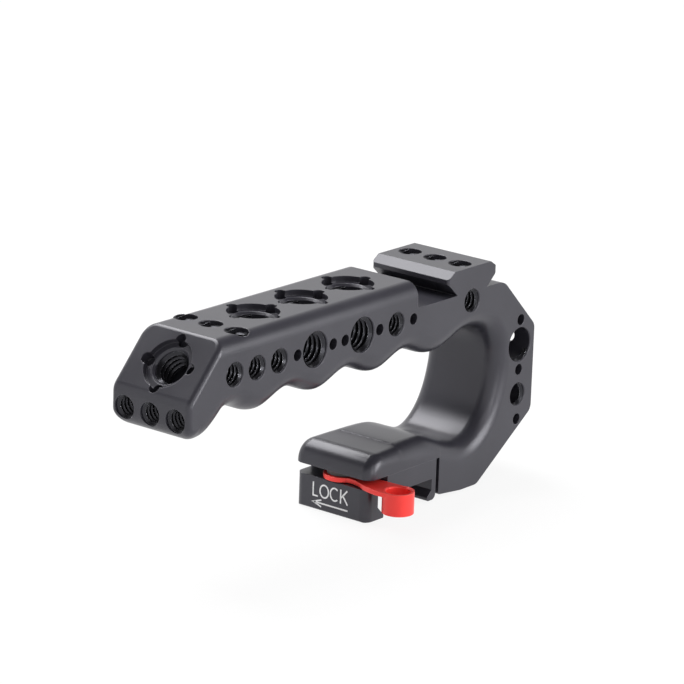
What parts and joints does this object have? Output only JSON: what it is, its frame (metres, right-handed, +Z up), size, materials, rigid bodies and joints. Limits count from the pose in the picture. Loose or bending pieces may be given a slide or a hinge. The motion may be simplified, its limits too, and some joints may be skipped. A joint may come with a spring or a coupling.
{
  "type": "camera top handle",
  "caption": "Machined closed-C camera top handle with finger waves, an accessory rail, threaded side, top and nose holes, and a cam-lever quick-release rail clamp.",
  "frame": {"origin": "centre of the flat roof of the rail clamp's slot, where the top of the camera's rail seats", "axes": "+X from the nose to the closed back of the handle, +Z up, +Y to the side opposite the released lever"},
  "size_m": [0.143, 0.0377, 0.0629],
  "materials": {
    "black_anodised": "satin black anodised",
    "red_anodised": "satin red anodised",
    "steel": "plain steel",
    "black_steel": "black oxide",
    "polymer": "matte"
  },
  "bodies": {
    "handle": {"handle_frame": "black_anodised", "clamp_base": "black_anodised", "lever_pivot_pin": "steel", "lever_washer": "polymer", "clamp_screw_front_near": "black_steel", "clamp_screw_front_far": "black_steel", "clamp_screw_rear_near": "black_steel", "clamp_screw_rear_far": "black_steel", "jaw_spring_near": "steel", "jaw_spring_far": "steel"},
    "lever": {"cam_lever": "red_anodised"},
    "jaw": {"lock_jaw": "black_anodised"}
  },
  "joints": [
    {"name": "lever_swing", "type": "hinge", "parent": "handle", "child": "lever", "pos_m": [-0.01135, 0, 0.0036], "axis": [0, 0, -1], "range_deg": [0, 160]},
    {"name": "jaw_slide", "type": "slide", "parent": "handle", "child": "jaw", "axis": [1, 0, 0], "range_m": [0, 0.0006], "deforming": ["jaw_spring_near", "jaw_spring_far"]}
  ],
  "couplings": [
    {"joint": "lever_swing", "follows": "jaw_slide", "rad_per_m": 4654.2}
  ]
}
